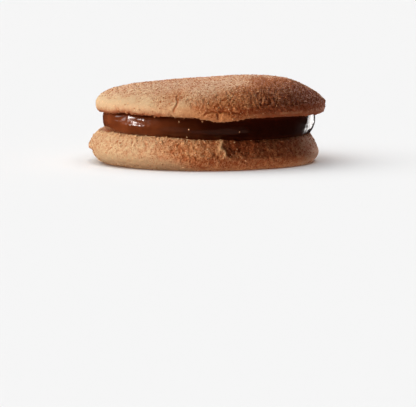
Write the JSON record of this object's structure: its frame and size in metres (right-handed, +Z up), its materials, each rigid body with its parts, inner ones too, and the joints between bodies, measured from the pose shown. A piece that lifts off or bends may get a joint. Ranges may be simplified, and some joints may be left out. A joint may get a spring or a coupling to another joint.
{
  "type": "alfajor cookie",
  "caption": "Round alfajor sandwich biscuit: domed crumbly biscuit halves with cracked edges, held together by a thick glossy layer of dark caramel filling. It lies flat on a table or plate.",
  "frame": {"origin": "middle of the base that the lower biscuit rests on, under the middle of the whole alfajor's outline", "axes": "+Z up through the layers; -Y is the front that the picture shows; +X is to the right of that view"},
  "size_m": [0.0616, 0.0606, 0.0221],
  "materials": {
    "biscuit": null,
    "caramel": null
  },
  "bodies": {
    "root": {"lower_biscuit": "biscuit", "filling": "caramel", "upper_biscuit": "biscuit"}
  },
  "joints": []
}
